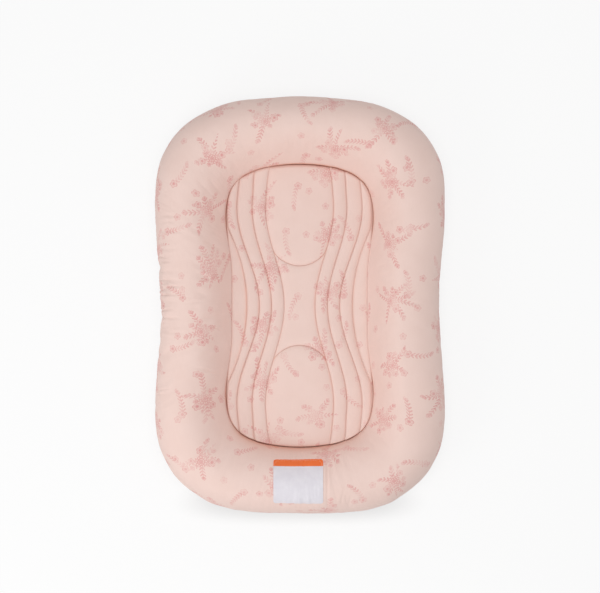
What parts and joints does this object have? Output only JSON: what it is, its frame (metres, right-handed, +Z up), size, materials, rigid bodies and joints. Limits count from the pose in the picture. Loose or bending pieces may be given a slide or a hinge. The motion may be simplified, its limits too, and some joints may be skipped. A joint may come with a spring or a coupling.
{
  "type": "infant lounger",
  "caption": "Oblong infant lounger: stuffed fabric bolster round a low moulded pad with wavy channels and two ovals, in a zipped cotton cover.",
  "frame": {"origin": "on the floor under the middle of the lounger", "axes": "+X to the right side and +Y to the head end as the picture shows it, +Z up"},
  "size_m": [0.5116, 0.737, 0.1148],
  "materials": {
    "print_cotton": "matt woven cotton, pale peach pink with a faint sprig print",
    "pad_cotton": "matt woven cotton heat pressed on foam, pale peach pink",
    "base_cotton": "plain matt cotton, pale blush",
    "ticking": "plain unbleached lining cloth",
    "fibre": "white polyester fibre filling",
    "foam": "open cell foam, cream",
    "label": "satin woven label, near white with an orange band",
    "zip_tape": "woven polyester zip tape",
    "zip_coil": "nylon zip coil",
    "zip_metal": "nickel plated die casting"
  },
  "bodies": {
    "lounger": {"bolster_cover": "print_cotton", "centre_panel": "pad_cotton", "panel_lining": "base_cotton", "base_panel_left": "base_cotton", "base_panel_right": "base_cotton", "casing_top": "ticking", "casing_base": "ticking", "bolster_fill": "fibre", "firm_pad": "foam", "label_patch": "label", "care_tag": "label", "zip_tape_left": "zip_tape", "zip_tape_right": "zip_tape", "zip_coil_left": "zip_coil", "zip_coil_right": "zip_coil", "zip_top_stop_left": "zip_metal", "zip_top_stop_right": "zip_metal", "zip_bottom_stop": "zip_metal"},
    "slider": {"zip_slider": "zip_metal"},
    "pull": {"zip_pull": "zip_metal"}
  },
  "joints": [
    {"name": "zip_slide", "type": "slide", "parent": "lounger", "child": "slider", "axis": [0, 1, 0], "range_m": [0, 0.3718]},
    {"name": "pull_hinge", "type": "hinge", "parent": "slider", "child": "pull", "pos_m": [0, -0.1861, 0.0068], "axis": [1, 0, 0], "range_deg": [0, 155]}
  ]
}
